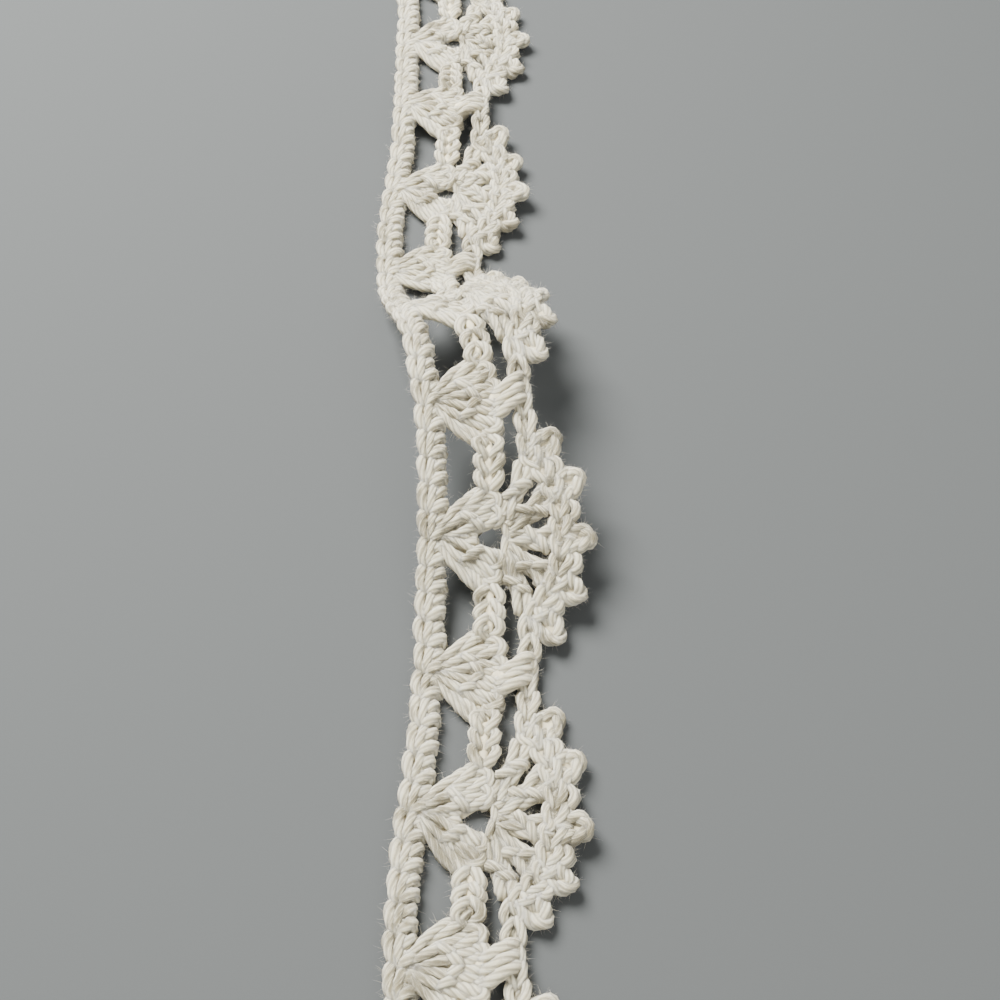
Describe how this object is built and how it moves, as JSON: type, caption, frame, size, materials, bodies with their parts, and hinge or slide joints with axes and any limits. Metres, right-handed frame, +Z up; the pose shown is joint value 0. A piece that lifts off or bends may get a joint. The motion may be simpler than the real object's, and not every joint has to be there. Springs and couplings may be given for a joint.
{
  "type": "length of crocheted lace trim",
  "caption": "Cut length of crocheted cotton lace trim: a straight sewing edge, a row of small shells and open picot fans, lying in a gentle curve with one low rise.",
  "frame": {"origin": "middle of the trim's footprint, on the surface it lies on", "axes": "+Y along the trim, towards its far end; +X from the straight sewing edge towards the picot fans; +Z up"},
  "size_m": [0.043, 0.312, 0.0185],
  "materials": {
    "cotton_yarn": "soft matt off-white plied cotton with a light fuzz"
  },
  "bodies": {
    "root": {"crochet_trim": "cotton_yarn"}
  },
  "joints": []
}
